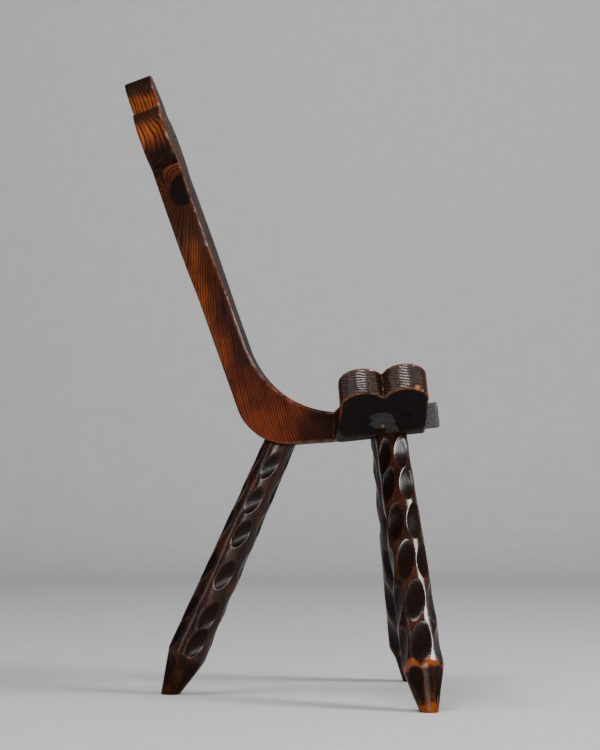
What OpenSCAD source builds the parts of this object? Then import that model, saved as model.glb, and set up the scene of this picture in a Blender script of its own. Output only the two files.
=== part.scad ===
// Three-legged wooden stool with a tall bent back.
// +X is the front, +Y the sitter's left, +Z up, and the floor is Z = 0.
// The origin is on the floor, under the centre of the overall box.

/* [Seat] */
// Height of the seat's rear bottom edge above the floor
seat_h = 321; // [310:1:335]
// Rise of the seat towards its front edge, in degrees
seat_tilt = 6.5; // [5:0.5:8]
// Depth of the slab from the rear edge to the front edge
seat_d = 112; // [109:1:115]
// Width of the seat across its lobed ends
seat_w = 350; // [340:1:370]
// Width of the flat part of the underside
seat_flat_w = 154; // [148:1:160]
// Height of the sloping underside at the lobed ends
wing_rise = 50; // [47:1:52]
// Thickness of the slab in the middle
seat_t = 56; // [54:1:58]
// Width of the flat middle of the hollowed top
hollow_flat_w = 164; // [150:1:170]
// Radius of the curve that lifts the top towards each end
hollow_r = 184; // [180:1:200]
// Radius of each lobe
lobe_r = 27.5; // [27:0.5:28.5]
// Distance between the two lobes of one end
lobe_gap = 52; // [51:0.5:53]
// Centre of the rear lobe, from the rear edge
lobe_x = 42; // [41:0.5:43]

/* [Back] */
// Thickness of the bent back board
back_t = 36; // [32:1:38]
// Lean of the back from upright, in degrees
back_lean = 19.7; // [17:0.1:22]
// Length of the back from its top to the inner corner of the bend
back_len = 452; // [437:1:467]
// Distance from the seat's rear edge to the inner corner of the bend
bend_run = 87; // [84:1:92]
// Height of the inner corner above the seat's rear bottom edge
bend_h = 46.5; // [45:0.5:48]
// Inner radius of the bend
bend_in_r = 128; // [115:1:130]
// Outer radius of the bend
bend_out_r = 66; // [55:1:75]
// Slope of the top of the back's foot, in degrees
foot_top_slope = 6.8; // [6:0.1:7.5]
// Slope of the underside of the back's foot, in degrees
foot_low_slope = 3.9; // [3:0.1:5]
// Half width of the neck, just under the head
neck_half = 64; // [60:1:68]
// Half width where the board is widest, under the neck
shoulder_half = 77; // [70:1:80]
// Half width of the lower board and the bend
waist_half = 53; // [50:1:56]
// Half width of the foot where it meets the seat
foot_half = 50; // [46:1:52]
// Radius of the head's top lobe
crown_r = 40; // [38:1:42]
// Radius of the head's side lobes
ear_r = 40; // [39:1:41]
// Distance of each side lobe's centre from the middle
ear_y = 50; // [49:1:51]
// Distance of the side lobes' centres below the top
ear_drop = 91; // [90:1:92]

/* [Legs] */
// Diameter of a leg where it meets the seat
leg_top_d = 39; // [37:1:42]
// Diameter of a leg at the knee above its foot
knee_d = 50; // [46:1:52]
// Diameter of the foot on the floor
foot_d = 22; // [20:1:26]
// Height of the knee along the leg
knee_h = 56; // [50:1:60]
// Distance of the front feet from the middle
front_foot_y = 200; // [190:1:205]
// Distance of the front legs' tops from the middle
front_top_y = 60; // [59:1:64]

/* [Joinery] */
// Width of the through tenon of the back
tenon_w = 46; // [42:1:48]
// Height of the through tenon of the back
tenon_h = 31.5; // [29:0.5:32]
// How far the tenon stands out of the front edge
tenon_out = 20; // [16:1:24]
// Diameter of the round tenon on top of each leg
leg_tenon_d = 28; // [26:1:30]
// Diameter of the pegs that lock the back's tenon
peg_d = 9; // [8:1:10]

/* [Hidden] */
$fn = 64;

big = 600;
side_spare = 10;
right = -1;
left = 1;

// Seat, measured from the middle of its rear bottom edge
lobe_y = seat_w / 2 - lobe_r;
lobe_front_x = lobe_x + lobe_gap;
outline_y = seat_w / 2 + side_spare;
outline_rise = wing_rise * (outline_y - seat_flat_w / 2) / (seat_w - seat_flat_w) * 2;
lobe_inset = 5;
shoulder_inset = 7;
seat_shoulder_y = seat_flat_w / 2 - shoulder_inset;
blank_top = 100;
tenon_z = 3.7;
tenon_root = 6;
tenon_end = seat_d + tenon_out;
peg_x = 60;
peg_y = 12;
peg_len = 44;
rear_set_in = 9;
rear_chamfer = 5;

function unit(a) = [cos(a), sin(a)];

// Back profile, in the XZ plane and measured from the same edge, which is also
// where the foot's upright end meets the seat's upright rear face
down_angle = back_lean - 90;
foot_end_low = 0.3;
crown_spare = 8;
inner_corner = [-bend_run, bend_h];
top_front = inner_corner + back_len * [-sin(back_lean), cos(back_lean)];
top_rear = top_front - back_t * [cos(back_lean), sin(back_lean)];
rear_line = inner_corner - back_t * [cos(back_lean), sin(back_lean)];
foot_end_top = meet(inner_corner, -foot_top_slope, [0, 0], 90);
outer_corner = meet(rear_line, down_angle, [0, foot_end_low], foot_low_slope);
above_top = -crown_spare * unit(down_angle);
board_end = 620;

// Half widths of the board at distances below its top
width_knots = [
    [100, neck_half], [118, neck_half], [200, shoulder_half], [235, shoulder_half],
    [320, waist_half], [440, waist_half], [board_end, foot_half]
];

// Legs: the centre of the foot on the floor and of the top at the seat, with X
// from the seat's rear edge. The two front legs were bored by hand and differ.
rear_foot = [-214, 0, 0];
rear_top = [-74.5, 0, 316];
right_foot = [116, -front_foot_y, 0];
right_top = [70, -front_top_y, 323];
left_foot = [93, front_foot_y, 0];
left_top = [61, front_top_y, 323];

// The overall box is centred on X = 0, between the top of the back and
// whichever reaches further forward, the tenon's tip or the right leg's knee
tenon_tip = tenon_end * cos(seat_tilt) - tenon_z * sin(seat_tilt);
seat_x = -(top_rear[0] + max(tenon_tip, knee_reach(right_foot, right_top))) / 2;
foot_spare = 20;
top_spare = 28;
tenon_reach = 140;
tenon_overlap = 25;
wedge_top_t = 6;
wedge_tip_t = 1.5;
wedge_len = 30;
wedge_head_rear = 52;
wedge_head_front = 55;

// Where the line through p at angle a crosses the line through q at angle b
function meet(p, a, q, b) =
    let (d = q - p, s = (d[0] * sin(b) - d[1] * cos(b)) / sin(b - a))
    p + s * unit(a);

// An arc of radius r that rounds corner c between travel angles a and b
function bend(c, a, b, r, steps) =
    let (start = c - r * tan((b - a) / 2) * unit(a), centre = start + r * unit(a + 90))
    [for (i = [0:steps]) centre + r * unit(a - 90 + (b - a) * i / steps)];

// How far forward the knee of a leg reaches
function knee_reach(foot, top) =
    let (a = (top - foot) / norm(top - foot))
    foot[0] + knee_h * a[0] + knee_d / 2 * sqrt(1 - a[0] * a[0]);

function reversed(list) = [for (i = [len(list) - 1:-1:0]) list[i]];

// Half width of the board at a distance below its top, eased between the knots
function half_width(drop, i = 0) =
    drop > width_knots[i + 1][0] ? half_width(drop, i + 1) :
    let (
        p = width_knots[i],
        q = width_knots[i + 1],
        share = (drop - p[0]) / (q[0] - p[0])
    )
    p[1] + (q[1] - p[1]) * (1 - cos(180 * share)) / 2;

inner_bend = bend(inner_corner, down_angle, -foot_top_slope, bend_in_r, 20);
outer_bend = bend(outer_corner, down_angle, foot_low_slope, bend_out_r, 16);

module at_seat() {
    translate([seat_x, 0, seat_h])
    rotate([0, -seat_tilt, 0])
    children();
}

// A flat outline in XZ, made into a board that is w wide
module board(w) {
    translate([seat_x, w / 2, seat_h])
    rotate([90, 0, 0])
    linear_extrude(w)
    children();
}

// The slab's plan as an upright block, from -spare to its full blank height
module seat_plan(spare) {
    height = blank_top + spare;
    for (x = [lobe_x, lobe_front_x], y = [-lobe_y, lobe_y])
        translate([x, y, -spare]) cylinder(r = lobe_r, h = height);
    half = [
        [0, seat_shoulder_y], [lobe_x - lobe_r, lobe_y],
        [lobe_x, lobe_y + lobe_inset], [lobe_front_x, lobe_y + lobe_inset],
        [lobe_front_x + lobe_r, lobe_y], [seat_d, seat_shoulder_y]
    ];
    translate([0, 0, -spare])
    linear_extrude(height)
    polygon(concat(half, reversed([for (p = half) [p[0], -p[1]]])));
}

// Front view of the slab, drawn a little wider than its ends; spare lowers the
// underside
module seat_front(spare = 0) {
    difference() {
        polygon([
            [-seat_flat_w / 2, -spare], [seat_flat_w / 2, -spare],
            [outline_y, outline_rise - spare], [outline_y, blank_top],
            [-outline_y, blank_top], [-outline_y, outline_rise - spare]
        ]);
        translate([-hollow_flat_w / 2, seat_t]) square([hollow_flat_w, big]);
        for (side = [-1, 1])
            translate([side * hollow_flat_w / 2, seat_t + hollow_r])
            circle(hollow_r, $fn = 180);
    }
}

// Everything behind the seat's rear face, which is upright as high as the
// back's foot, then chamfered forwards and square to the tilted seat above
module behind_seat() {
    foot_top = foot_end_top[1];
    board(big)
    polygon([
        [0, -big / 2], [0, foot_top], [rear_set_in, foot_top + rear_chamfer],
        [rear_set_in - blank_top * tan(seat_tilt), foot_top + rear_chamfer + blank_top],
        [-big / 2, foot_top + rear_chamfer + blank_top], [-big / 2, -big / 2]
    ]);
}

module seat_blank(spare = 0) {
    difference() {
        at_seat()
        intersection() {
            seat_plan(spare);
            translate([-big / 2, 0, 0])
            rotate([90, 0, 90])
            linear_extrude(big)
            seat_front(spare);
        }
        behind_seat();
    }
}

module tenon_bar(back_spare, front_spare) {
    at_seat()
    translate([-back_spare, -tenon_w / 2, tenon_z])
    cube([back_spare + tenon_end + front_spare, tenon_w, tenon_h]);
}

// A disc of the head in the board's own frame, where +Z runs up the board and
// the origin is the middle of its top
module head_disc(y, drop, r) {
    translate([-big / 4, y, -drop]) rotate([0, 90, 0]) cylinder(r = r, h = big);
}

// Front view of the back board, extruded square to its front face
module back_outline() {
    head_disc(0, crown_r, crown_r);
    for (side = [right, left]) head_disc(side * ear_y, ear_drop, ear_r);
    first = width_knots[0][0];
    side_line = [for (d = [first:20:board_end]) [half_width(d), -d]];
    edge = concat([[crown_r / 2, -crown_r]], side_line);
    translate([-big / 4, 0, 0])
    rotate([90, 0, 90])
    linear_extrude(big)
    polygon(concat(edge, reversed([for (p = edge) [-p[0], p[1]]])));
}

module back_blank() {
    intersection() {
        board(2 * (ear_y + ear_r + side_spare))
        polygon(concat(
            [top_front + above_top], inner_bend,
            [foot_end_top, [0, foot_end_low]],
            reversed(outer_bend), [top_rear + above_top]
        ));
        translate([seat_x + top_front[0], 0, seat_h + top_front[1]])
        rotate([0, -back_lean, 0])
        back_outline();
    }
}

// Everything under the front face of the back board
module under_back() {
    board(2 * waist_half)
    polygon(concat([top_front], inner_bend, [[0, -big / 4], [-big, -big / 4]]));
}

// Stands its children on foot, with +Z along the leg towards top
module along_leg(foot, top) {
    v = top - foot;
    translate(foot + [seat_x, 0, 0])
    rotate([0, acos(v[2] / norm(v)), atan2(v[1], v[0])])
    children();
}

module leg_body(foot, top) {
    len = norm(top - foot);
    slope = (knee_d - foot_d) / knee_h;
    difference() {
        along_leg(foot, top)
        rotate([0, 0, 90])
        rotate_extrude()
        polygon([
            [0, -foot_spare], [(foot_d - slope * foot_spare) / 2, -foot_spare],
            [knee_d / 2, knee_h], [leg_top_d / 2, len + top_spare],
            [0, len + top_spare]
        ]);
        translate([-big, -big, -big]) cube([2 * big, 2 * big, big]);
    }
}

module leg_tenon(foot, top, start) {
    along_leg(foot, top)
    translate([0, 0, norm(top - foot) + start])
    cylinder(d = leg_tenon_d, h = tenon_reach - start);
}

// A wedge whose head is at a height above the leg's top point. Its width lies
// across the leg, turned by turn about the leg's axis
module wedge_prism(foot, top, head, turn) {
    along_leg(foot, top)
    rotate([0, 0, turn])
    translate([0, leg_tenon_d, norm(top - foot) + head])
    rotate([90, 0, 0])
    linear_extrude(2 * leg_tenon_d)
    polygon([
        [-wedge_tip_t / 2, -wedge_len], [wedge_tip_t / 2, -wedge_len],
        [wedge_top_t / 2, 0], [wedge_top_t / 2, wedge_len],
        [-wedge_top_t / 2, wedge_len], [-wedge_top_t / 2, 0]
    ]);
}

// Turns a front leg's wedge so that its width lies along X, across the seat's grain
function front_turn(foot, top) = 90 - atan2(top[1] - foot[1], top[0] - foot[0]);

module seat_saddle() {
    color("#2a1710")
    difference() {
        seat_blank();
        tenon_bar(tenon_overlap, tenon_overlap);
        leg_tenon(right_foot, right_top, -tenon_overlap);
        leg_tenon(left_foot, left_top, -tenon_overlap);
        for (side = [right, left]) peg(side);
    }
}

module back_board() {
    color("#8a4216")
    difference() {
        union() {
            back_blank();
            tenon_bar(tenon_root, 0);
        }
        leg_tenon(rear_foot, rear_top, -tenon_overlap);
        for (side = [right, left]) peg(side);
    }
}

module leg_rear() {
    color("#331a10")
    difference() {
        union() {
            difference() {
                leg_body(rear_foot, rear_top);
                back_blank();
            }
            intersection() {
                leg_tenon(rear_foot, rear_top, -tenon_overlap);
                under_back();
            }
        }
        wedge_prism(rear_foot, rear_top, wedge_head_rear, 0);
    }
}

module leg_front(foot, top) {
    color("#331a10")
    difference() {
        union() {
            difference() {
                leg_body(foot, top);
                seat_blank();
            }
            intersection() {
                leg_tenon(foot, top, -tenon_overlap);
                seat_blank(leg_top_d);
            }
        }
        wedge_prism(foot, top, wedge_head_front, front_turn(foot, top));
    }
}

module leg_front_right() {
    leg_front(right_foot, right_top);
}

module leg_front_left() {
    leg_front(left_foot, left_top);
}

module wedge_rear() {
    color("#b98a55")
    intersection() {
        wedge_prism(rear_foot, rear_top, wedge_head_rear, 0);
        leg_tenon(rear_foot, rear_top, 0);
        under_back();
    }
}

module wedge_front(foot, top) {
    color("#b98a55")
    intersection() {
        wedge_prism(foot, top, wedge_head_front, front_turn(foot, top));
        leg_tenon(foot, top, 0);
        seat_blank();
    }
}

module wedge_front_right() {
    wedge_front(right_foot, right_top);
}

module wedge_front_left() {
    wedge_front(left_foot, left_top);
}

module peg(side) {
    at_seat()
    translate([peg_x, side * peg_y, 0])
    cylinder(d = peg_d, h = peg_len);
}

module tenon_peg_right() {
    color("#b98a55") peg(right);
}

module tenon_peg_left() {
    color("#b98a55") peg(left);
}

seat_saddle();
back_board();
leg_rear();
leg_front_right();
leg_front_left();
wedge_rear();
wedge_front_right();
wedge_front_left();
tenon_peg_right();
tenon_peg_left();
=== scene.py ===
"""A three-legged wooden stool with a tall bent back: its finished surfaces, light and camera.

Shapes are worked out in millimetres and written in metres. +X is the front, +Y the sitter's left.
Every visible piece starts as a fine, even mesh of its CAD node, which is then carved.
"""

import math
from typing import NamedTuple

import bpy
import numpy as np
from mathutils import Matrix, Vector


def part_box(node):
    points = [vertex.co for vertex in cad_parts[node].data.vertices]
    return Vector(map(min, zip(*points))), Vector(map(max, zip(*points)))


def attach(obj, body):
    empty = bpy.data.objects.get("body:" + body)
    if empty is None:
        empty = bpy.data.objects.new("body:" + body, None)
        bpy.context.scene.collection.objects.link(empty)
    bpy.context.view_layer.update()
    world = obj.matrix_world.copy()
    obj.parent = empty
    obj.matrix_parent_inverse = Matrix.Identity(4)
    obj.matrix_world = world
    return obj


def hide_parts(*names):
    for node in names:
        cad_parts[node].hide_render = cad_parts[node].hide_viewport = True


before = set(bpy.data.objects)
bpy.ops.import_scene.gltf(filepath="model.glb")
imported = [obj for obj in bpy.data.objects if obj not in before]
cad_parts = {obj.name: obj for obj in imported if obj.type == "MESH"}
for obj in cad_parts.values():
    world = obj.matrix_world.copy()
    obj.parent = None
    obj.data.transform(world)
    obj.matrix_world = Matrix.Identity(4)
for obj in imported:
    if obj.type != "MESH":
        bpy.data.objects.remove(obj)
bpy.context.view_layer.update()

MM = 0.001
KNEE = 56  # height of a leg's knee, in millimetres like all that follows
CORE = 12  # radius round a leg's axis that no cut reaches
CUT_COLUMNS = 5
FLUTES = 4
SEAT_SLOPE = 6.5  # of the seat's underside, in degrees
KNOT = (-121.0, 631.0)  # x and z of the knot in the near side of the back
rng = np.random.default_rng(7)


# ---------------------------------------------------------------- numbers and fields


def smooth_step(low, high, value):
    """0 below low and 1 above high, eased between them. low may be the larger one."""
    share = np.clip((value - low) / (high - low), 0, 1)
    return share * share * (3 - 2 * share)


def unit(vector):
    return np.asarray(vector, float) / np.linalg.norm(vector)


def lattice(cells):
    """A repeatable random value for each whole-number cell."""
    mixed = cells[..., 0] * 73856093 ^ cells[..., 1] * 19349663 ^ cells[..., 2] * 83492791
    mixed = (mixed ^ (mixed >> 13)) * 1274126177
    return ((mixed ^ (mixed >> 16)) & 0xFFFF) / 32767.5 - 1


def noise(points, size, seed=0):
    """Smooth noise from -1 to 1, whose bumps are about size across. size may differ along each axis."""
    p = points / np.asarray(size, float) + seed * 17.3
    cell = np.floor(p).astype(np.int64)
    f = p - cell
    f = f * f * (3 - 2 * f)
    total = np.zeros(len(p))
    for corner in np.ndindex(2, 2, 2):
        c = np.array(corner)
        weight = np.prod(np.where(c == 1, f, 1 - f), axis=1)
        total += weight * lattice(cell + c)
    return total


def box_mm(node):
    low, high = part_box(node)
    return np.array(low) / MM, np.array(high) / MM


# ---------------------------------------------------------------- carving


class Carving:
    """A fine mesh of a CAD node, and what is cut into it."""

    def __init__(self, node, name, voxel, wear_passes):
        self.node = node
        self.object = self.fine_copy(node, name, voxel, wear_passes)
        self.mesh = self.object.data
        count = len(self.mesh.vertices)
        self.points = np.empty(count * 3, np.float32)
        self.mesh.vertices.foreach_get("co", self.points)
        self.points = self.points.reshape(-1, 3).astype(float) / MM
        edges = np.empty(len(self.mesh.edges) * 2, np.int32)
        self.mesh.edges.foreach_get("vertices", edges)
        self.edges = edges.reshape(-1, 2)
        self.neighbours = np.bincount(self.edges.ravel(), minlength=count)
        self.normals = self.read_normals()

    @staticmethod
    def fine_copy(node, name, voxel, wear_passes):
        piece = bpy.data.objects.new(name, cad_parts[node].data.copy())
        bpy.context.scene.collection.objects.link(piece)
        piece.data.materials.clear()
        remesh = piece.modifiers.new("even mesh", "REMESH")
        remesh.mode = "VOXEL"
        remesh.voxel_size = voxel * MM
        wear = piece.modifiers.new("worn arrises", "SMOOTH")
        wear.factor = 0.5
        wear.iterations = wear_passes
        graph = bpy.context.evaluated_depsgraph_get()
        mesh = bpy.data.meshes.new_from_object(piece.evaluated_get(graph))
        piece.modifiers.clear()
        piece.data = mesh
        mesh.name = name
        return piece

    def read_normals(self):
        self.mesh.vertices.foreach_set("co", (self.points * MM).astype(np.float32).ravel())
        self.mesh.update()
        normals = np.empty(len(self.points) * 3, np.float32)
        self.mesh.vertices.foreach_get("normal", normals)
        return normals.reshape(-1, 3).astype(float)

    def mean_of_neighbours(self, values):
        values = values.reshape(len(self.points), -1)
        total = np.zeros_like(values)
        a, b = self.edges[:, 0], self.edges[:, 1]
        for column in range(values.shape[1]):
            total[:, column] = np.bincount(a, values[b, column], len(values))
            total[:, column] += np.bincount(b, values[a, column], len(values))
        return (total / self.neighbours[:, None]).squeeze()

    def blurred(self, values, passes):
        for _ in range(passes):
            values = (values + self.mean_of_neighbours(values)) / 2
        return values

    def cut(self, depth):
        """Sinks each point by depth, in millimetres along its normal."""
        self.points -= self.normals * depth[:, None]
        self.normals = self.read_normals()

    def arrises(self, passes=3, sharp=0.25):
        """1 on the convex arrises and 0 on flats and hollows."""
        wide = self.blurred(self.points, passes)
        height = np.einsum("ij,ij->i", self.points - wide, self.normals)
        return self.blurred(np.clip(height / sharp, 0, 1), 1)

    def store(self, name, values):
        layer = self.mesh.attributes.new(name, "FLOAT", "POINT")
        layer.data.foreach_set("value", values.astype(np.float32))

    def finish(self, material, slot, *also_replaces):
        low, high = box_mm(self.node)
        self.points = np.clip(self.points, low, high)
        self.read_normals()
        self.mesh.shade_smooth()
        self.mesh.materials.append(material)
        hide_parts(self.node, *also_replaces)
        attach(self.object, "root")
        return self.object


# ---------------------------------------------------------------- node materials


class Shader:
    """A node material, built up from its base colour."""

    def __init__(self, name):
        self.material = bpy.data.materials.new(name)
        self.material.use_nodes = True
        self.tree = self.material.node_tree
        self.surface = self.tree.nodes["Principled BSDF"]
        self.place = self.node("ShaderNodeTexCoord").outputs["Object"]

    def node(self, kind, **settings):
        made = self.tree.nodes.new(kind)
        for key, value in settings.items():
            setattr(made, key, value)
        return made

    def feed(self, socket, value):
        if isinstance(value, bpy.types.NodeSocket):
            self.tree.links.new(value, socket)
        elif isinstance(value, tuple) and len(value) == 3 and socket.type == "RGBA":
            socket.default_value = (*value, 1)
        else:
            socket.default_value = value

    def attribute(self, name):
        return self.node("ShaderNodeAttribute", attribute_name=name).outputs["Fac"]

    def math(self, operation, a, b=0.0, clamp=False):
        made = self.node("ShaderNodeMath", operation=operation, use_clamp=clamp)
        self.feed(made.inputs[0], a)
        self.feed(made.inputs[1], b)
        return made.outputs[0]

    def scaled(self, value, low, high, to_low=0.0, to_high=1.0):
        made = self.node("ShaderNodeMapRange", interpolation_type="SMOOTHSTEP")
        for socket, part in zip(made.inputs[:5], (value, low, high, to_low, to_high), strict=False):
            self.feed(socket, part)
        return made.outputs["Result"]

    def mix(self, share, a, b, blend="MIX"):
        made = self.node("ShaderNodeMix", data_type="RGBA", blend_type=blend)
        self.feed(made.inputs["Factor"], share)
        self.feed(made.inputs[6], a)
        self.feed(made.inputs[7], b)
        return made.outputs[2]

    def noise(self, size, detail=3.0, roughness=0.55, stretch=(1, 1, 1), seed=0.0, distortion=0.0):
        """Noise with features about size millimetres across, longer along the axes that stretch names."""
        mapping = self.node("ShaderNodeMapping")
        self.feed(mapping.inputs["Vector"], self.place)
        mapping.inputs["Location"].default_value = (seed, seed * 0.7, seed * 1.3)
        mapping.inputs["Scale"].default_value = [1 / (size * MM * s) for s in stretch]
        made = self.node("ShaderNodeTexNoise")
        self.feed(made.inputs["Vector"], mapping.outputs[0])
        made.inputs["Scale"].default_value = 1
        made.inputs["Detail"].default_value = detail
        made.inputs["Roughness"].default_value = roughness
        made.inputs["Distortion"].default_value = distortion
        return made.outputs["Fac"]

    def rings(self, sharpness=0.82):
        """(latewood line from 0 to 1, random value of the ring) from the piece's own ring count."""
        wobble = self.math("MULTIPLY", self.noise(7, 3, 0.6, (1, 1, 2.5)), 0.9)
        count = self.math("ADD", self.attribute("rings"), wobble)
        share = self.math("FRACT", count)
        line = self.math(
            "MULTIPLY",
            self.scaled(share, 0.25, sharpness),
            self.scaled(share, 1.0, sharpness + 0.06),
        )
        each = self.node("ShaderNodeTexWhiteNoise", noise_dimensions="1D")
        self.feed(each.inputs["W"], self.math("FLOOR", count))
        return line, each.outputs["Value"]

    def bump(self, height, depth, below=None):
        made = self.node("ShaderNodeBump")
        made.inputs["Strength"].default_value = 1
        made.inputs["Distance"].default_value = depth * MM
        self.feed(made.inputs["Height"], height)
        if below is not None:
            self.feed(made.inputs["Normal"], below)
        return made.outputs[0]

    def finish(self, colour, roughness, normal, polish=0.0, sheen=0.06):
        """polish may vary over the surface: none is a dead matt one, and 1 is the glossiest."""
        self.feed(self.surface.inputs["Base Color"], colour)
        self.feed(self.surface.inputs["Roughness"], roughness)
        self.feed(self.surface.inputs["Normal"], normal)
        self.feed(self.surface.inputs["Coat Normal"], normal)
        self.feed(self.surface.inputs["Coat Weight"], polish)
        self.surface.inputs["Coat Roughness"].default_value = 0.2
        self.feed(self.surface.inputs["Specular IOR Level"], sheen)
        return self.material


def back_wood():
    s = Shader("back_wood")
    line, each = s.rings()
    fibre = s.noise(0.9, 2, 0.5, (1, 1, 14))
    patches = s.noise(34, 3, 0.55, (1, 1, 1.6), seed=3)
    early = s.mix(s.scaled(patches, 0.35, 0.68), (0.25, 0.062, 0.014), (0.09, 0.020, 0.007))
    early = s.mix(s.math("MULTIPLY", each, 0.4), early, (0.065, 0.015, 0.006))
    early = s.mix(s.scaled(fibre, 0.45, 0.75, 0, 0.35), early, (0.055, 0.013, 0.006))
    strength = s.math("ADD", s.math("MULTIPLY", each, 0.35), 0.6)
    reddened = s.mix(s.scaled(patches, 0.35, 0.65), (0.115, 0.021, 0.008), (0.05, 0.010, 0.005))
    early = s.mix(s.math("MULTIPLY", s.attribute("red"), 0.9), early, reddened)
    colour = s.mix(s.math("MULTIPLY", line, strength), early, (0.007, 0.003, 0.002))
    # dark carries real stains and painted shade on the ears, the crown, the front face and round the knot
    colour = s.mix(s.attribute("dark"), colour, (0.0068, 0.0048, 0.0044))
    grime = s.noise(9, 4, 0.65, seed=8)
    wear = s.math("MULTIPLY", s.attribute("arris"), s.scaled(grime, 0.38, 0.6))
    colour = s.mix(s.math("MULTIPLY", wear, 0.5), colour, (0.26, 0.075, 0.020))
    dry_grain = s.noise(2.2, 5, 0.75, (1.6, 1, 1), seed=5, distortion=0.6)
    dry = s.mix(s.scaled(dry_grain, 0.36, 0.64), (0.10, 0.098, 0.094), (0.030, 0.029, 0.0275))
    colour = s.mix(s.attribute("dry"), colour, dry)
    colour = s.mix(s.attribute("chip"), colour, (0.30, 0.08, 0.015))
    roughness = s.scaled(grime, 0.3, 0.7, 0.32, 0.5)
    roughness = s.math("ADD", roughness, s.math("MULTIPLY", s.attribute("dry"), 0.3))
    relief = s.math("ADD", s.math("MULTIPLY", line, 0.6), s.math("MULTIPLY", fibre, 0.4))
    normal = s.bump(relief, 0.22, s.bump(grime, 0.25))
    polish = s.math("MULTIPLY", s.attribute("arris"), 0.8)
    return s.finish(colour, roughness, normal, polish, sheen=0.01)


def seat_wood():
    s = Shader("seat_wood")
    line, each = s.rings()
    patches = s.noise(22, 3, 0.6, (1, 2, 1), seed=1)
    base = s.mix(s.scaled(patches, 0.35, 0.7), (0.040, 0.0105, 0.005), (0.011, 0.0045, 0.0035))
    base = s.mix(s.math("MULTIPLY", each, 0.5), base, (0.016, 0.005, 0.0035))
    colour = s.mix(s.math("MULTIPLY", line, 0.75), base, (0.004, 0.0025, 0.002))
    sawn = s.attribute("sawn")
    saw_marks = s.noise(1.2, 3, 0.6, (7, 1, 1), seed=4)
    black = s.mix(s.scaled(saw_marks, 0.3, 0.75), (0.0038, 0.0028, 0.0024), (0.0085, 0.0060, 0.0048))
    colour = s.mix(sawn, colour, black)
    scar_grain = s.noise(2.6, 4, 0.7, seed=6, distortion=2.5)
    scar = s.mix(s.scaled(scar_grain, 0.4, 0.62), (0.009, 0.0085, 0.008), (0.058, 0.056, 0.052))
    colour = s.mix(s.attribute("scar"), colour, scar)
    colour = s.mix(s.attribute("chip"), colour, (0.33, 0.12, 0.035))
    grime = s.noise(6, 4, 0.65, seed=9)
    wear = s.math("MULTIPLY", s.attribute("arris"), s.scaled(grime, 0.36, 0.56))
    colour = s.mix(s.math("MULTIPLY", wear, 0.8), colour, (0.27, 0.062, 0.009))
    roughness = s.scaled(grime, 0.3, 0.7, 0.2, 0.36)
    roughness = s.math("ADD", roughness, s.math("MULTIPLY", sawn, 0.45))
    relief = s.math("MULTIPLY", line, s.attribute("endgrain"))
    normal = s.bump(relief, 1.2, s.bump(grime, 0.07))
    polish = s.math("MULTIPLY", s.math("SUBTRACT", 1.0, sawn), 0.25)
    polish = s.math("ADD", polish, s.attribute("endgrain"), clamp=True)
    return s.finish(colour, roughness, normal, polish)


def leg_wood():
    s = Shader("leg_wood")
    line, each = s.rings()
    patches = s.noise(16, 4, 0.6, (1, 1, 2), seed=2)
    fibre = s.noise(0.8, 3, 0.6, (1, 1, 12), seed=7)
    base = s.mix(s.scaled(patches, 0.4, 0.66), (0.010, 0.0034, 0.0024), (0.050, 0.0115, 0.0040))
    base = s.mix(s.scaled(fibre, 0.4, 0.75, 0, 0.6), base, (0.009, 0.0035, 0.0027))
    colour = s.mix(s.math("MULTIPLY", line, 0.45), base, (0.005, 0.003, 0.0022))
    scooped = s.mix(s.scaled(fibre, 0.35, 0.7), (0.010, 0.0042, 0.003), (0.0035, 0.0021, 0.0018))
    colour = s.mix(s.attribute("scoop"), colour, scooped)
    grime = s.noise(5, 4, 0.65, seed=4)
    wear = s.math("MULTIPLY", s.attribute("arris"), s.scaled(grime, 0.4, 0.6))
    colour = s.mix(s.math("MULTIPLY", wear, 0.5), colour, (0.11, 0.026, 0.006))
    patchy = s.noise(3, 5, 0.85, (1, 1, 1.6), seed=11)
    rubbed = s.scaled(s.math("ADD", s.attribute("rubbed"), patchy), 0.95, 1.3)
    bare = s.mix(s.scaled(fibre, 0.4, 0.7), (0.20, 0.048, 0.007), (0.055, 0.013, 0.004))
    colour = s.mix(rubbed, colour, bare)
    roughness = s.scaled(grime, 0.3, 0.7, 0.2, 0.36)
    relief = s.math("ADD", s.math("MULTIPLY", fibre, 0.5), s.math("MULTIPLY", grime, 0.5))
    normal = s.bump(relief, 0.14)
    polish = s.math("SUBTRACT", 1.0, s.math("MULTIPLY", s.attribute("scoop"), 0.85))
    polish = s.math("MULTIPLY", polish, s.attribute("polish"))
    return s.finish(colour, roughness, normal, polish)


def wedge_wood():
    s = Shader("wedge_wood")
    fibre = s.noise(0.7, 3, 0.6, (1, 1, 10), seed=2)
    grime = s.noise(4, 4, 0.65, seed=5)
    colour = s.mix(s.scaled(fibre, 0.35, 0.7), (0.16, 0.075, 0.030), (0.060, 0.028, 0.014))
    colour = s.mix(s.scaled(grime, 0.4, 0.65, 0, 0.8), colour, (0.030, 0.014, 0.009))
    roughness = s.scaled(grime, 0.3, 0.7, 0.4, 0.6)
    return s.finish(colour, roughness, s.bump(fibre, 0.2))


# ---------------------------------------------------------------- legs


def slice_centre(points, z):
    """The middle of a piece at height z, from its evenly spread points."""
    return points[np.abs(points[:, 2] - z) < 6].mean(axis=0)


def scoop(along, across, length, width, depth, lean):
    """Depth of one gouge cut: a leaf shape with a crisp rim. lean turns its upper end, in degrees."""
    c, s = math.cos(math.radians(lean)), math.sin(math.radians(lean))
    u = (along * c + across * s) / (length / 2)
    v = (across * c - along * s) / (width / 2)
    inside = 1 - np.abs(u) ** 1.8 - v * v
    return depth * np.clip(inside, 0, None) ** 0.8


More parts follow.
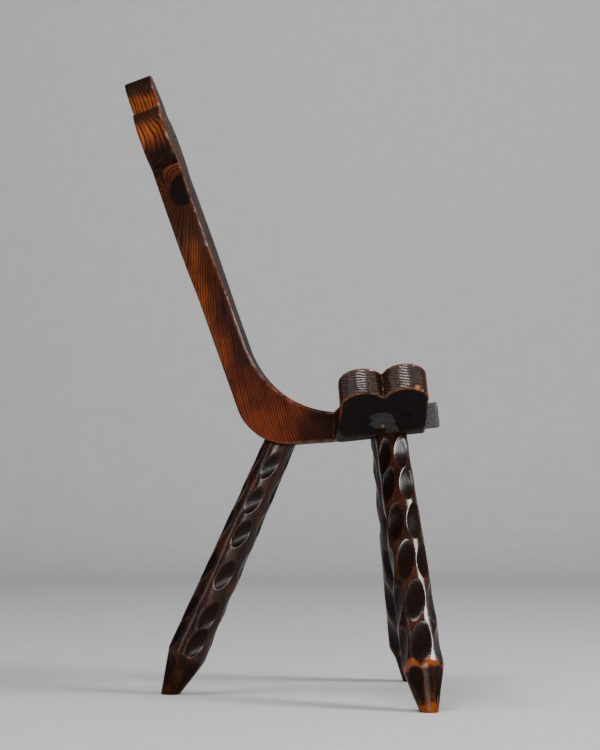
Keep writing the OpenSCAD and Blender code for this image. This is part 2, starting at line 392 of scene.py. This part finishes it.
class LegPlan(NamedTuple):
    """How one leg is carved and worn. Heights run along the leg. Angles go round it from its -Y side."""

    rows: tuple  # heights of the rows of gouge cuts
    first_angle: float  # of the first column of cuts, at the top
    twist: float  # how far the columns have turned by the foot
    stagger: float  # how much higher every other column sits
    lean: float  # how far the upper end of a cut is turned
    flute_angle: float  # of the first flute of the foot
    bite: float  # size of the gouge cuts
    bare: float  # how much of the finish the knee and the toe have lost
    gloss: float  # polish of what stands between the cuts


def arc_from(facing, angle, radius):
    """Distance round the leg from the line at angle facing."""
    away = (angle - facing + 180) % 360 - 180
    return np.radians(away) * radius


def gouge_cuts(plan, height, angle, radius):
    """Depth of the rows of gouge cuts, which grow towards the foot."""
    depth = np.zeros(len(height))
    for row, row_height in enumerate(plan.rows):
        share = row / (len(plan.rows) - 1)
        length = plan.bite * (46 + 10 * share)
        width = plan.bite * (21 + 5 * share)
        for column in range(CUT_COLUMNS):
            jitter = rng.uniform(-1, 1, 4)
            centre = row_height + plan.stagger * (column % 2) + 1.5 * jitter[0]
            facing = plan.first_angle + plan.twist * smooth_step(300, 100, centre)
            facing += 360 / CUT_COLUMNS * column + 3 * jitter[1]
            across = arc_from(facing, angle, radius)
            cut_length = length * (1 + 0.06 * jitter[2])
            cut_depth = (2.9 + share) * (1 + 0.12 * jitter[3])
            leaf = scoop(height - centre, across, cut_length, width, cut_depth, plan.lean)
            depth = np.maximum(depth, leaf)
    return np.where(radius > CORE, depth, 0)


def foot_flutes(plan, height, angle, radius):
    """Depth of the flutes down the faces of the foot, which narrow towards the floor."""
    depth = np.zeros(len(height))
    width = 7 + 18 * smooth_step(4, KNEE, height)
    share = np.abs(height - 0.52 * KNEE) / (0.44 * KNEE)
    for flute in range(FLUTES):
        across = arc_from(plan.flute_angle + 360 / FLUTES * flute, angle, radius)
        inside = 1 - share**3 - (across / (width / 2)) ** 2
        depth = np.maximum(depth, 2.6 * np.clip(inside, 0, None) ** 0.8)
    return np.where((radius > CORE) | (height < 30), depth, 0)


def leg(node, plan):
    piece = Carving(node, node.replace("leg", "carved_leg"), voxel=1.0, wear_passes=3)
    low, high = slice_centre(piece.points, 90), slice_centre(piece.points, 280)
    axis = unit(high - low)
    foot = low - axis * low[2] / axis[2]
    side = unit(np.array([0, -1, 0]) - axis * -axis[1])
    turn = np.cross(axis, side)
    rel = piece.points - foot
    height = rel @ axis
    radial = rel - height[:, None] * axis
    radius = np.linalg.norm(radial, axis=1)
    angle = np.degrees(np.arctan2(radial @ turn, radial @ side))

    depth = gouge_cuts(plan, height, angle, radius)
    depth = np.maximum(depth, foot_flutes(plan, height, angle, radius))
    carved = depth / 2.5
    depth += 0.25 * noise(piece.points, (9, 9, 22), 3) * smooth_step(0, 4, piece.points[:, 2])
    tenon_height = np.linalg.norm(high - foot) + 75
    in_seat = smooth_step(-2, 3, height - tenon_height)
    piece.cut(depth * (1 - in_seat))

    knee_rim = np.exp(-(((height - KNEE - 1) / 7) ** 2))
    toe = 0.38 * smooth_step(16, 2, height)
    foot_wear = 0.36 * smooth_step(KNEE, KNEE - 8, height)
    rubbed = plan.bare * (knee_rim + toe + foot_wear) * (1 - 0.8 * np.clip(carved, 0, 1))
    from_pith = piece.points - (foot + turn * 34 + side * 12)
    from_pith -= (from_pith @ axis)[:, None] * axis
    piece.store("scoop", piece.blurred(np.clip(carved * 1.6, 0, 1), 1))
    piece.store("arris", piece.arrises())
    piece.store("rubbed", np.clip(rubbed, 0, 1))
    piece.store("polish", plan.gloss * smooth_step(KNEE - 10, KNEE + 3, height))
    piece.store("rings", np.linalg.norm(from_pith, axis=1) / 2.6)
    return piece.finish(materials["leg_wood"], "leg_wood")


# ---------------------------------------------------------------- seat


def end_marks(p, along, facet_height):
    """The marks of the near end's sawn facet: (scar, hollow, chips), each from 0 to 1 before it is masked.

    along runs forwards from the middle of the seat, and facet_height is the height over its lowest point.
    """
    ragged = 2.5 * noise(p, (9, 9, 9), 9) + 1.5 * noise(p, (4, 4, 4), 13)
    upper_scar = np.hypot((along - 2) * 0.72, (facet_height - 23) * 1.2) - 11
    lower_scar = np.hypot(along - 12, (facet_height - 14) * 1.2) - 8
    scar = smooth_step(1.5, -1.5, np.minimum(upper_scar, lower_scar) + ragged)
    hollow = np.hypot((along - 28) * 0.55, (facet_height - 30) * 1.3) - 4.5 + 0.4 * ragged
    scar_chip = np.hypot((along - 2) * 1.2, facet_height - 16) - 2.4
    wall_chip = np.hypot(along - 44, facet_height - 62) - 2.6
    chips = smooth_step(1.2, -1.2, np.minimum(scar_chip, wall_chip) + 0.4 * ragged)
    return scar, hollow, chips


def seat():
    piece = Carving("seat_saddle", "carved_seat", voxel=1.2, wear_passes=4)
    p, n = piece.points, piece.normals
    low, high = box_mm("seat_saddle")
    side = np.where(p[:, 1] < 0, -1, 1)
    out = side * p[:, 1]
    near = p[:, 1] < 0
    along = p[:, 0] - (low[0] + high[0]) / 2
    facet_height = p[:, 2] - low[2]
    end_wall = smooth_step(0.45, 0.75, side * n[:, 1]) * smooth_step(95, 120, out)
    under = smooth_step(0.15, 0.5, -n[:, 2])
    wing = under * smooth_step(78, 84, out)

    scar, hollow, chips = end_marks(p, along, facet_height)
    scar *= near * wing
    hole = near * wing * smooth_step(2, -2, hollow)
    above_flat = facet_height - np.clip(along + 50, 0, None) * math.tan(math.radians(SEAT_SLOPE))
    corner = np.hypot(np.clip(np.abs(along - 2) - 38, 0, None), np.clip(20 - above_flat, 0, None))
    underside = smooth_step(0.85, 0.95, -n[:, 2])
    sawn = np.maximum(wing * smooth_step(21, 17, corner), underside)
    facet = smooth_step(0.9, 0.99, piece.blurred(wing, 14))
    lower_corners = near * smooth_step(30, 20, above_flat) * (np.abs(along - 4) > 34)
    unworn = np.clip(facet + scar + smooth_step(6, 2, hollow) + lower_corners, 0, 1)
    rings = np.hypot(along + 14, facet_height + 170) + 1.6 * noise(p, (26, 400, 12), 2) + 0.02 * out

    depth = 0.25 * noise(p, (24, 30, 24), 6)
    depth += wing * 0.35 * noise(p, (14, 5, 8), 7)
    depth += end_wall * 0.12 * noise(p, (5, 60, 5), 5)
    depth += scar * (0.7 + 0.5 * noise(p, (5, 5, 3), 11)) + hole * 3
    piece.cut(depth)
    piece.store("endgrain", end_wall)
    piece.store("sawn", sawn)
    piece.store("scar", scar)
    piece.store("chip", near * chips * smooth_step(90, 100, out))
    piece.store("arris", piece.arrises() * (1 - unworn))
    piece.store("rings", rings / 3.1)
    return piece.finish(materials["seat_wood"], "seat_wood")


# ---------------------------------------------------------------- back board


def grain_shift(z):
    """How far the grain lines of the back have moved forwards at height z."""
    heights = np.arange(300, 800, 5.0)
    lean = np.interp(heights, (320, 430, 552, 620, 680, 790), (17, 9, 1, -6, 12, 19))
    shift = -np.cumsum(np.tan(np.radians(lean))) * 5
    return np.interp(z, heights, shift)


class BackPlaces:
    """Where each point of the back board lies, along and across its straight upper part."""

    def __init__(self, p, n, high):
        flat = (p[:, 2] > high[2] - 250) & (n[:, 0] > 0.85) & (np.abs(n[:, 1]) < 0.2)
        front = unit(n[flat].mean(axis=0) * (1, 0, 1))
        up = np.array([-front[2], 0, front[0]])
        top = p[np.argmax(p @ up)]
        self.drop = (top - p) @ up  # below the top of the head
        self.behind = np.median(p[flat] @ front) - p @ front  # behind the front face
        self.faces_up = n @ up
        self.faces_front = n @ front
        self.side = smooth_step(0.5, 0.85, np.abs(n[:, 1]))
        self.near = p[:, 1] < 0
        self.knot_x = p[:, 0] - KNOT[0]
        self.knot_z = p[:, 2] - KNOT[1]


def back_grain(p, at):
    """(distance of each point in front of the knot's grain line, distance along the growth rings)."""
    grain = p[:, 0] - KNOT[0] - grain_shift(p[:, 2]) + grain_shift(KNOT[1])
    fan = -30 * (np.arctan2(at.knot_z, -at.knot_x) + math.pi / 2)
    near_knot = np.exp(-((np.hypot(at.knot_x, at.knot_z) / 42) ** 2)) * smooth_step(-20, -35, p[:, 1])
    grain += (fan - grain) * near_knot
    pith = 75 + 300 * smooth_step(680, 600, p[:, 2])
    rings = np.hypot(grain - pith, p[:, 1] - 18) - pith
    rings -= 0.35 * np.clip(grain - 12, 0, None)
    rings += 1.5 * noise(p, (16, 16, 48), 1) + 0.8 * noise(p, (7, 30, 16), 17)
    return grain, rings


def back_stains_and_shade(p, at, high):
    """How dark the board is, from 0 to 1: real stains and marks, with painted shade on the ears, the
    crown, the front face and round the knot.
    """
    above_knot = np.where(at.knot_z > 0, 0.62, 1)
    blotch = np.hypot(at.knot_x, above_knot * at.knot_z) + 2 * noise(p, (9, 9, 9), 4)
    charcoal = at.side * smooth_step(21, 15, blotch) * at.near
    from_knot = np.hypot(at.knot_x, at.knot_z + 18) + 8 * noise(p, (16, 16, 16), 18)
    knot_shade = 0.75 * at.side * smooth_step(95, 30, from_knot)
    board = smooth_step(high[2] - 122, high[2] - 145, p[:, 2]) * smooth_step(380, 430, p[:, 2])
    front_stain = board * smooth_step(30, 10, at.behind + 6 * noise(p, (12, 12, 40), 6)) * 0.75
    foot = 0.88 * smooth_step(10, 62, p[:, 0] + 8 * noise(p, (14, 14, 14), 8))
    # painted shade: the downward-facing undersides of the ears are darkened
    shade_under_ear = 0.96 * smooth_step(0.2, -0.55, at.faces_up) * (at.drop > 60) * (at.drop < 145)
    # painted shade: the upward-facing tops of the ears are darkened
    shade_over_ear = 0.8 * smooth_step(0.2, 0.7, at.faces_up) * (at.drop > 40) * (at.drop < 140)
    # painted shade: the top of the head is darkened
    shade_on_crown = 0.9 * smooth_step(44, 18, at.drop + 6 * noise(p, (9, 9, 9), 10))
    # painted shade: surfaces that face the front are darkened
    face = 0.85 * smooth_step(0.6, 0.9, at.faces_front)
    scar_z = p[:, 2] - 483
    scar_edge = np.hypot((p[:, 0] + 69 + 0.4 * scar_z) * 2.2, scar_z) - 7
    scar = 0.9 * at.near * at.side * smooth_step(2, -2, scar_edge + 2 * noise(p, (5, 5, 5), 19))
    stain_and_shade_masks = [charcoal, knot_shade, front_stain, foot, shade_under_ear, shade_over_ear, shade_on_crown, face, scar]
    return np.max(stain_and_shade_masks, axis=0)


def head_beads(p, at):
    """Depth of the row of beads carved inside the edge of the head's front face."""
    crown_edge = np.hypot(p[:, 1], at.drop - 40) - 40
    ear_edge = np.hypot(np.abs(p[:, 1]) - 50, at.drop - 91) - 40
    head_edge = np.minimum(crown_edge, ear_edge)
    face = smooth_step(0.7, 0.9, at.faces_front) * (at.drop < 140)
    beads = np.cos(np.arctan2(at.drop - 72, p[:, 1]) * 30) > -0.2
    band = np.clip(1 - ((head_edge + 12) / 4.5) ** 2, 0, None)
    return 1.1 * face * band * beads


def back():
    piece = Carving("back_board", "carved_back", voxel=1.45, wear_passes=3)
    p = piece.points
    high = box_mm("back_board")[1]
    seat_low, seat_high = box_mm("seat_saddle")
    at = BackPlaces(p, piece.normals, high)
    grain, rings = back_grain(p, at)
    dark = back_stains_and_shade(p, at, high)
    red = smooth_step(15, 60, grain + 6 * noise(p, (20, 20, 50), 9)) * smooth_step(560, 440, p[:, 2])
    dry = smooth_step(seat_high[0] - 22, seat_high[0] - 18, p[:, 0])

    depth = head_beads(p, at) + 0.18 * noise(p, (10, 10, 30), 12)
    bend = smooth_step(330, 372, p[:, 2]) * smooth_step(420, 392, p[:, 2])
    edge = piece.arrises()
    depth += 1.1 * edge * bend * np.clip(noise(p, (6, 6, 6), 14) * 2, 0, 1)
    depth += 0.35 * edge * np.clip(noise(p, (12, 12, 12), 15) * 1.5, 0, 1)
    in_seat = smooth_step(seat_low[0] - 3, seat_low[0], p[:, 0]) * (1 - dry)
    piece.cut(depth * (1 - in_seat))

    inside_side = smooth_step(0.85, 0.97, piece.blurred(at.side, 8))
    frontward = smooth_step(-0.35, 0.25, piece.normals[:, 0])
    tenon_low = p[dry > 0.9][:, 2].min()
    corner = np.hypot(p[:, 0] - high[0], p[:, 2] - tenon_low) - 5
    piece.store("arris", piece.arrises(passes=2, sharp=0.16) * frontward * (1 - inside_side))
    piece.store("dark", dark)
    piece.store("red", red)
    piece.store("chip", dry * smooth_step(1, -1, corner + 1.5 * noise(p, (5, 5, 5), 16)))
    piece.store("dry", dry)
    piece.store("rings", rings / 4.2)
    return piece.finish(materials["back_wood"], "back_wood")


# ---------------------------------------------------------------- light, floor and camera


def aim(thing, target):
    direction = Vector(target) - thing.location
    thing.rotation_euler = direction.to_track_quat("-Z", "Y").to_euler()


def softbox(name, place, target, width, height, power):
    lamp = bpy.data.lights.new(name, "AREA")
    lamp.shape = "RECTANGLE"
    lamp.size = width
    lamp.size_y = height
    lamp.energy = power
    holder = bpy.data.objects.new(name, lamp)
    holder.location = place
    aim(holder, target)
    bpy.context.scene.collection.objects.link(holder)


def studio():
    """A pale floor that sweeps up into the backdrop."""
    half_width, near, far, radius, tall = 5.0, -4.0, 3.2, 0.6, 4.0
    profile = [(near, 0.0), (far, 0.0)]
    for step in range(1, 17):
        a = math.pi / 2 * step / 16
        profile.append((far + radius * math.sin(a), radius * (1 - math.cos(a))))
    profile.append((far + radius, tall))
    verts = [(x, y, z) for y, z in profile for x in (-half_width, half_width)]
    faces = [(2 * i, 2 * i + 1, 2 * i + 3, 2 * i + 2) for i in range(len(profile) - 1)]
    mesh = bpy.data.meshes.new("studio_floor")
    mesh.from_pydata(verts, [], faces)
    mesh.shade_smooth()
    floor = bpy.data.objects.new("studio_floor", mesh)
    bpy.context.scene.collection.objects.link(floor)
    s = Shader("studio_floor")
    grain = s.noise(40, 3, 0.5)
    colour = s.mix(s.scaled(grain, 0.3, 0.7), (0.60, 0.60, 0.595), (0.57, 0.57, 0.565))
    mesh.materials.append(s.finish(colour, 0.75, s.bump(grain, 0.05)))

    world = bpy.data.worlds.new("studio_world")
    bpy.context.scene.world = world
    world.use_nodes = True
    background = world.node_tree.nodes["Background"]
    background.inputs["Color"].default_value = (0.8, 0.82, 0.85, 1)
    background.inputs["Strength"].default_value = 0.10

    softbox("key_light", (2.4, -0.9, 1.7), (0.0, 0.0, 0.3), 0.9, 0.9, 92)
    softbox("front_light", (0.25, -3.0, 0.72), (0.1, 0.0, 0.4), 2.2, 0.45, 76)
    softbox("top_light", (-0.4, -0.5, 2.5), (0.0, 0.0, 0.4), 0.8, 0.8, 26)
    softbox("left_light", (-2.2, -1.8, 1.0), (0.0, 0.0, 0.4), 0.25, 1.2, 9)
    softbox("backdrop_light", (0.0, 1.2, 2.6), (0.0, 3.6, 1.0), 3.0, 0.5, 30)


def camera():
    """Seen from the sitter's right, at seat height, square to the stool's side."""
    view = bpy.data.cameras.new("camera")
    view.lens = 106.66
    view.sensor_width = 36
    holder = bpy.data.objects.new("camera", view)
    holder.location = (0.179, -2.830, 0.276)
    holder.rotation_euler = (math.radians(90 + 2.63), 0, math.radians(3.165))
    bpy.context.scene.collection.objects.link(holder)
    bpy.context.scene.camera = holder


# ---------------------------------------------------------------- the stool

materials = {
    "back_wood": back_wood(),
    "seat_wood": seat_wood(),
    "leg_wood": leg_wood(),
    "wedge_wood": wedge_wood(),
}

for name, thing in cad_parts.items():
    if name.startswith(("wedge_", "tenon_peg_")):
        for entry in thing.material_slots:
            entry.material = materials["wedge_wood"]

rear_plan = LegPlan(
    rows=(318, 271, 226, 169, 114, 75),
    first_angle=4,
    twist=14,
    stagger=21,
    lean=12,
    flute_angle=-45,
    bite=0.82,
    bare=0.5,
    gloss=0.38,
)
right_plan = LegPlan(
    rows=(328, 287, 237, 184, 132, 77),
    first_angle=-38,
    twist=45,
    stagger=0,
    lean=12,
    flute_angle=-31,
    bite=1.0,
    bare=1.0,
    gloss=0.8,
)
left_plan = right_plan._replace(
    first_angle=-150,
    twist=-45,
    lean=-12,
    flute_angle=10,
    bare=0.8,
    gloss=0.5,
)
leg("leg_rear", rear_plan)
leg("leg_front_right", right_plan)
leg("leg_front_left", left_plan)
seat()
back()
studio()
camera()
